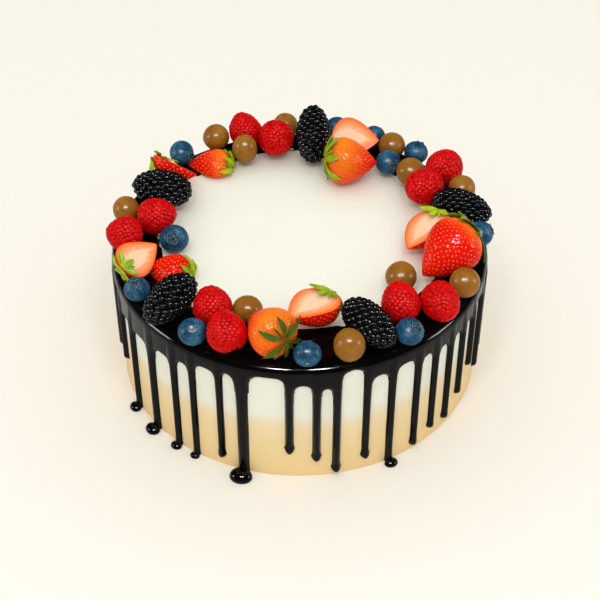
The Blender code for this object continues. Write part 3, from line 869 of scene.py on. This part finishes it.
def strawberry_radius(share, width):
    """Half the width at shares of the length, 0 at the leaves and 1 at the tip."""
    inside = np.clip(share, 0, 1)
    return 0.5 * width * np.sin(math.pi * inside**0.62) ** 0.8


def skin_point(share, turn, length, width):
    """Points on the skin at shares of the length and turns round it."""
    share, turn = np.broadcast_arrays(share, turn)
    radius = strawberry_radius(share, width)
    x = (share - STRAWBERRY_MIDDLE) * length
    return np.stack([x, radius * np.cos(turn), radius * np.sin(turn)], axis=-1)


def seed_places(length, width, draw):
    """Points spread evenly over the skin, one for each seed."""
    steps = np.linspace(0, 1, 300)
    area = skin_area(length * steps, strawberry_radius(steps, width))
    count = int(area[-1] / SKIN_PER_SEED)
    numbers = np.arange(count) + 0.5
    shares = np.interp(numbers / count * area[-1], area, steps)
    turns = GOLDEN_ANGLE * numbers + np.array([draw.uniform(-0.05, 0.05) for _ in numbers])
    return skin_point(shares, turns, length, width)


def strawberry(length, width, kind, ripe_start, ripe_end, orange, draw):
    """A fruit along +X with its seeds, whole or cut in half: points, faces, marks and face finishes."""
    rows, columns = 78, 104
    whole = kind == "whole"
    shares = (1 - np.cos(np.linspace(0, math.pi, rows))) / 2
    shares = 0.5 * shares + 0.5 * np.linspace(0, 1, rows)
    shares = np.clip(shares, 0.0005, 0.9995)
    if whole:
        turns = np.linspace(0, 2 * math.pi, columns, endpoint=False)
    else:
        turns = np.linspace(math.pi, 2 * math.pi, columns // 2 + 1)
    grid = skin_point(shares[:, None], turns[None, :], length, width).reshape(-1, 3)
    seeds = seed_places(length, width, draw)
    if not whole:
        seeds = seeds[seeds[:, 2] < -0.5 * MM]
    tree = kdtree.KDTree(len(seeds))
    for number, seed in enumerate(seeds):
        tree.insert(seed, number)
    tree.balance()
    nearest = np.array([tree.find(point)[2] for point in grid])
    dent = np.exp(-((nearest / DIMPLE_RADIUS) ** 2))
    out = grid * np.array([0.35, 1.0, 1.0])
    out /= np.linalg.norm(out, axis=1)[:, None] + 1e-12
    skin = grid - out * dent[:, None] * DIMPLE_DEPTH
    if not whole:
        skin[:, 2] = np.minimum(skin[:, 2], 0.0)
    share_of = np.repeat(shares, len(turns))
    # upward adds painted light and shade to the ripeness along the fruit: paler orange on the upper side,
    # deeper red below.
    upward = grid[:, 2] / (0.5 * width) * (-1 if kind == "cut face down" else 1)
    ripe = np.clip((share_of - ripe_start) / (ripe_end - ripe_start), 0, 1)
    ripe = ripe * (1 - 0.75 * orange) + 0.2 * (1 - upward)
    points = skin.tolist()
    faces = grid_faces(rows, len(turns), whole)
    if whole:
        faces += [tuple(range(len(turns)))[::-1], tuple(range(len(grid) - len(turns), len(grid)))]
        faces = facing_out(skin, faces)
    finishes = [0] * len(faces)
    marks = {"ripe": ripe.tolist(), "dent": dent.tolist()}
    marks.update({name: [0.0] * len(points) for name in ("rim", "ray")})
    if not whole:
        across = np.linspace(-1, 1, 31)
        spots = shares[:, None] + 0 * across[None, :]
        radii = strawberry_radius(shares, width)[:, None]
        x = (spots - STRAWBERRY_MIDDLE) * length
        y = radii * across[None, :]
        inward = (1 - np.abs(across[None, :])) * radii
        z = 0.0 * x + 0.25 * MM * np.clip(inward / (2 * MM), 0, 1)
        flesh = np.stack([x, y, z], axis=-1).reshape(-1, 3)
        flesh_faces = turned_over(grid_faces(rows, len(across)))
        faces += shifted(flesh_faces, len(points))
        finishes += [1] * len(flesh_faces)
        points += flesh.tolist()
        marks["ripe"] += np.repeat(np.clip(shares * 1.2, 0, 1), len(across)).tolist()
        marks["dent"] += [0.0] * len(flesh)
        marks["rim"] += np.clip(inward / (0.32 * width), 0, 1).ravel().tolist()
        fan = np.arctan2(y, x + 0.75 * length)
        marks["ray"] += (0.5 + 0.5 * np.sin(46 * fan + 3 * np.sin(9 * spots))).ravel().tolist()
    seed_points, seed_faces = cut_ball(2, -0.3)
    for seed in seeds:
        away = Vector((seed[0] * 0.35, seed[1], seed[2])).normalized()
        aside = away.cross(Vector((1, 0, 0))).normalized()
        basis = np.array((aside.cross(away), aside, away))
        shape = seed_points * np.array(SEED_SIZE) @ basis + seed - np.array(away) * SEED_DEPTH
        faces += shifted(seed_faces, len(points))
        finishes += [2] * len(seed_faces)
        points += shape.tolist()
        for mark in marks:
            marks[mark] += [0.0] * len(seed_points)
    return np.array(points), faces, marks, finishes


def strawberry_skin_colour(tree):
    drift = mottle(tree, 110.0, 1100.0, 0.3)
    # The mark holds the ripeness along the fruit and painted light: paler orange on the upper side, deeper
    # red below.
    ripe = value_map(tree, times_plus(tree, drift, 0.5, mark_value(tree, "ripe")), 0.22, 1.2)
    skin = colour_ramp(
        tree,
        ripe,
        (0.0, 0.94, 0.25, 0.012),
        (0.28, 0.94, 0.13, 0.008),
        (0.55, 0.92, 0.035, 0.005),
        (0.85, 0.84, 0.007, 0.002),
    )
    # The dimples round the seeds are painted darker: painted shade.
    dark = mix_colours(tree, 1.0, skin, (0.78, 0.35, 0.5), "MULTIPLY")
    skin = mix_colours(tree, value_map(tree, mark_value(tree, "dent"), 0.1, 0.9, 0.0, 0.8), skin, dark)
    return {
        "Base Color": skin,
        "Roughness": value_map(tree, drift, 0.3, 0.7, 0.12, 0.26),
        "Normal": relief(tree, drift, 0.25, 0.2 * MM),
    }


def strawberry_flesh_colour(tree):
    drift = mottle(tree, 160.0, 1300.0, 0.4)
    inner = value_map(tree, times_plus(tree, drift, 0.4, mark_value(tree, "rim")), 0.15, 1.2)
    flesh = colour_ramp(
        tree,
        inner,
        (0.0, 0.92, 0.07, 0.008),
        (0.15, 0.94, 0.17, 0.025),
        (0.4, 0.95, 0.29, 0.09),
        (0.7, 0.95, 0.38, 0.17),
        (1.0, 0.95, 0.62, 0.38),
    )
    streaks = times_plus(tree, mark_value(tree, "ray"), inner, 0.0)
    flesh = mix_colours(tree, value_map(tree, streaks, 0.3, 0.9, 0.0, 0.5), flesh, (0.94, 0.68, 0.48))
    return {"Base Color": flesh, "Roughness": value_map(tree, drift, 0.3, 0.7, 0.25, 0.45)}


def seed_colour(tree):
    drift = mottle(tree, 300.0, 1500.0, 0.3)
    return {"Base Color": colour_ramp(tree, drift, (0.3, 0.88, 0.17, 0.015), (0.7, 0.90, 0.34, 0.04))}


strawberry_finishes = [
    new_finish(
        "strawberry skin",
        strawberry_skin_colour,
        {"Subsurface Weight": 0.1, "Subsurface Scale": 2 * MM, "Specular IOR Level": 0.08},
    ),
    new_finish("strawberry flesh", strawberry_flesh_colour, {"Specular IOR Level": 0.08}),
    new_finish("strawberry seed", seed_colour, {"Roughness": 0.35, "Specular IOR Level": 0.15}),
]
for number, (length, width, heading, tilt, kind, lean, start, end, orange) in enumerate(STRAWBERRIES, 1):
    fruit = strawberry(length * MM, width * MM, kind, start, end, orange, berry_draw)
    points, faces, marks, finishes = fruit
    node = f"strawberry_{number}"
    points = fitted(points, facing(heading, tilt, 180 if kind == "cut face down" else lean), node)
    new_piece(f"fresh_{node}", points, faces, strawberry_finishes, "strawberry", [node], marks, finishes)


# Strawberry leaves: the thin green star at the wide end of a strawberry, left on when it was washed. Its
# pointed lobes lie back over the shoulder of the fruit and over a cut face, folded along the middle, with
# curled tips and narrow lobes in between.

# Number of wide lobes on each fruit, their reach as a share of its width, their breadth as a share of their
# turn, and how dark they are
LEAVES = (
    (4, 0.55, 0.38, 0.1),
    (6, 0.8, 0.42, 0.0),
    (6, 0.55, 0.42, 0.0),
    (4, 0.55, 0.32, 0.2),
    (6, 0.55, 0.2, 0.9),
    (6, 0.55, 0.34, 0.15),
    (6, 0.55, 0.32, 0.6),
    (6, 0.55, 0.38, 0.1),
    (6, 0.55, 0.32, 0.25),
)
LEAF_THICKNESS = 0.35 * MM
LEAF_GAP = 0.75 * MM
LEAF_ROOT = 0.6 * MM
LEAF_OVER_CUT = 0.8 * MM
LEAF_CUT_REACH = 0.8


def shoulder(distance, length, width):
    """Places on a fruit's outline, at distances from its wide end: x, radius and the way out in both."""
    shares = np.linspace(0, 0.9, 600)
    x = (shares - STRAWBERRY_MIDDLE) * length
    radius = strawberry_radius(shares, width)
    gone = np.concatenate([[0], np.cumsum(np.hypot(np.diff(x), np.diff(radius)))])
    outline = (x, radius, -np.gradient(radius, gone), np.gradient(x, gone))
    return [np.interp(distance, gone, values) for values in outline]


def leaf_points(distance, turn, lift, length, width, over_cut):
    """Points at a distance from the star's middle and a lift above the fruit or its cut face."""
    rise = LEAF_GAP + lift
    x, radius, out_x, out_radius = shoulder(distance, length, width)
    radius = radius + out_radius * rise
    around = np.stack([x + out_x * rise, radius * np.cos(turn), radius * np.sin(turn)], axis=-1)
    if not over_cut or np.mean(np.sin(turn)) < 0:
        return around
    ahead = np.maximum(LEAF_CUT_REACH * distance - 1 * MM, 0) * np.sin(turn)
    aside = LEAF_CUT_REACH * distance * np.cos(turn)
    x = ahead - STRAWBERRY_MIDDLE * length - LEAF_GAP
    return np.stack([x, aside, LEAF_OVER_CUT + rise], axis=-1)


def leaf_star(length, width, kind, lobes, full_reach, breadth, draw):
    """The star as closed thin lobes, with each point's place along and across its lobe."""
    rows, columns = 13, 7
    span = math.pi if kind == "cut face down" else 2 * math.pi
    step = span / lobes
    along = np.linspace(0, 1, rows)[:, None] + np.zeros(columns)
    across = np.linspace(-1, 1, columns)[None, :] + np.zeros((rows, 1))
    points = []
    faces = []
    marks = {"along_lobe": [], "across_lobe": [], "tone": []}
    lobe_faces = closed_sheet(grid_faces(rows, columns), rows * columns)
    over_cut = kind == "cut face up"
    for number in range(2 * lobes - 1):
        narrow = number % 2
        centre = math.pi + step * (0.5 * number + 0.5) + draw.uniform(-0.05, 0.05) * step
        if narrow and abs(math.sin(centre)) < 0.2:
            continue
        reach = full_reach * (draw.uniform(0.7, 0.85) if narrow else draw.uniform(0.9, 1.12))
        distance = LEAF_ROOT + (reach - LEAF_ROOT) * along
        teeth = 1 + 0.22 * np.abs(np.sin(3.5 * math.pi * along)) * along
        half_turn = step * breadth * (0.5 if narrow else 1) * np.maximum(1 - along**2.4, 0.02) * teeth
        turn = centre + half_turn * across + draw.uniform(-0.16, 0.16) * step * along**2
        fold = 0.7 * MM * np.abs(across) * np.sin(math.pi * along)
        ripple = 0.4 * MM * np.sin(8 * along + 2 * across + number) * across**2
        curl = draw.uniform(0.8, 3.0) * MM * along**2.5
        lift = np.maximum(fold + ripple + curl, 0) + (0.0 if narrow else 0.3 * MM)
        lower = leaf_points(distance, turn, lift, length, width, over_cut)
        upper = leaf_points(distance, turn, lift + LEAF_THICKNESS, length, width, over_cut)
        own = np.concatenate([lower, upper]).reshape(-1, 3)
        faces += shifted(facing_out(own - own.mean(0), lobe_faces), len(points))
        points += own.tolist()
        marks["along_lobe"] += [*along.ravel()] * 2
        marks["across_lobe"] += [*across.ravel()] * 2
        marks["tone"] += [draw.random()] * len(own)
    return np.array(points), faces, marks


def leaf_colour(tree):
    drift = mottle(tree, 140.0, 900.0, 0.4)
    across = add_node(tree, "ShaderNodeMath", {0: mark_value(tree, "across_lobe")}, operation="ABSOLUTE")
    blade = colour_ramp(
        tree,
        times_plus(tree, mark_value(tree, "tone"), 0.25, drift),
        (0.4, 0.15, 0.34, 0.002),
        (0.6, 0.33, 0.50, 0.004),
        (0.85, 0.58, 0.70, 0.015),
    )
    vein = value_map(tree, across.outputs[0], 0.0, 0.2, 0.35, 0.0)
    blade = mix_colours(tree, vein, blade, (0.60, 0.75, 0.06))
    root = value_map(tree, mark_value(tree, "along_lobe"), 0.0, 0.4, 0.6, 0.0)
    blade = mix_colours(tree, root, blade, (0.62, 0.66, 0.02))
    dark = mix_colours(tree, 1.0, blade, (0.07, 0.15, 0.5), "MULTIPLY")
    blade = mix_colours(tree, mark_value(tree, "darkness"), blade, dark)
    return {"Base Color": blade, "Normal": relief(tree, drift, 0.3, 0.2 * MM)}


leaf_finish = new_finish("strawberry leaf", leaf_colour, {"Roughness": 0.4, "Specular IOR Level": 0.1})
for number, (lobes, reach, breadth, darkness) in enumerate(LEAVES, 1):
    length, width, heading, tilt, kind, lean = STRAWBERRIES[number - 1][:6]
    full_reach = reach * width * MM
    points, faces, marks = leaf_star(length * MM, width * MM, kind, lobes, full_reach, breadth, berry_draw)
    marks["darkness"] = [darkness] * len(points)
    node = f"calyx_{number}"
    points = fitted(points, facing(heading, tilt, 180 if kind == "cut face down" else lean), node)
    new_piece(f"leaves_of_strawberry_{number}", points, faces, [leaf_finish], "calyx", [node], marks)


# The studio: a plain pale floor, soft light from all round, and two soft lamps above the front of the cake.
# Four more lamps show in reflections alone. The camera looks down at the front from the photograph's
# distance and angle.
FLOOR_SIZE = 12.0
CAMERA_DISTANCE = 0.812
CAMERA_PITCH = math.radians(41.63)
CAMERA_TARGET = (0.0002, 0.0, 0.0354)
CAMERA_LENS = 36 * 1421 / 600


def floor_colour(tree):
    drift = mottle(tree, 0.5, 3.0, 0.2)
    pale = colour_ramp(tree, drift, (0.0, 0.90, 0.865, 0.79), (1.0, 0.905, 0.87, 0.795))
    mirrored = add_node(tree, "ShaderNodeLightPath").outputs["Is Glossy Ray"]
    return {"Base Color": mix_colours(tree, mirrored, pale, (0.7, 0.7, 0.7))}


def studio_floor():
    rows = columns = 9
    spread = np.linspace(-0.5, 0.5, rows) * FLOOR_SIZE
    points = [(x, y, 0.0) for y in spread for x in spread]
    mesh = bpy.data.meshes.new("floor")
    mesh.from_pydata(points, [], grid_faces(rows, columns))
    floor_values = {"Roughness": 0.9, "Specular IOR Level": 0.0}
    mesh.materials.append(new_finish("pale floor", floor_colour, floor_values))
    floor = bpy.data.objects.new("floor", mesh)
    bpy.context.scene.collection.objects.link(floor)
    floor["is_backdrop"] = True


def lamp(name, place, size, power, gloss_only=False):
    """A round soft lamp that points at the cake. One for gloss only shows in reflections alone."""
    light = bpy.data.lights.new(name, "AREA")
    light.shape = "DISK"
    light.size = size
    light.energy = power
    holder = bpy.data.objects.new(name, light)
    holder.location = place
    holder.rotation_euler = (Vector((0, 0, 0.07)) - Vector(place)).to_track_quat("-Z", "Y").to_euler()
    holder.visible_diffuse = not gloss_only
    bpy.context.scene.collection.objects.link(holder)


def studio_sky():
    world = bpy.data.worlds.new("studio")
    bpy.context.scene.world = world
    world.use_nodes = True
    tree = world.node_tree
    tree.nodes.clear()
    way = add_node(tree, "ShaderNodeTexCoord").outputs["Generated"]
    height = value_map(tree, add_node(tree, "ShaderNodeSeparateXYZ", {0: way}).outputs["Z"], 0.0, 1.0)
    soft = colour_ramp(tree, height, (0.0, 0.5, 0.5, 0.5), (1.0, 1.0, 0.99, 0.965))
    dim = colour_ramp(
        tree,
        height,
        (0.0, 0.10, 0.10, 0.11),
        (0.25, 0.03, 0.03, 0.033),
        (1.0, 0.01, 0.01, 0.012),
    )
    mirrored = add_node(tree, "ShaderNodeLightPath").outputs["Is Glossy Ray"]
    colour = mix_colours(tree, mirrored, soft, dim)
    sky = add_node(tree, "ShaderNodeBackground", {"Color": colour, "Strength": 1.16})
    out = tree.nodes.new("ShaderNodeOutputWorld")
    tree.links.new(sky.outputs[0], out.inputs[0])


def studio_camera():
    lens = bpy.data.cameras.new("camera")
    lens.lens = CAMERA_LENS
    lens.sensor_width = 36
    lens.clip_start = 0.01
    lens.clip_end = 50
    camera = bpy.data.objects.new("camera", lens)
    x, y, z = CAMERA_TARGET
    back = CAMERA_DISTANCE * math.cos(CAMERA_PITCH)
    camera.location = (x, y - back, z + CAMERA_DISTANCE * math.sin(CAMERA_PITCH))
    camera.rotation_euler = (math.pi / 2 - CAMERA_PITCH, 0, 0)
    bpy.context.scene.collection.objects.link(camera)
    bpy.context.scene.camera = camera


studio_floor()
lamp("lamp_left", (-0.19, -0.55, 1.0), 0.16, 1.35)
lamp("lamp_right", (0.19, -0.55, 1.0), 0.16, 1.35)
lamp("gloss_left", (-0.15, -0.60, 1.0), 0.16, 16.0, True)
lamp("gloss_right", (0.15, -0.60, 1.0), 0.16, 16.0, True)
lamp("window_left", (-1.1, -0.2, 0.38), 0.34, 7.0, True)
lamp("window_right", (1.1, -0.2, 0.38), 0.34, 6.0, True)
studio_sky()
studio_camera()
bpy.context.scene.view_settings.view_transform = "Standard"

made_low, made_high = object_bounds()
sizes = {"cad": [list(cad_low), list(cad_high)], "visual": [list(made_low), list(made_high)]}
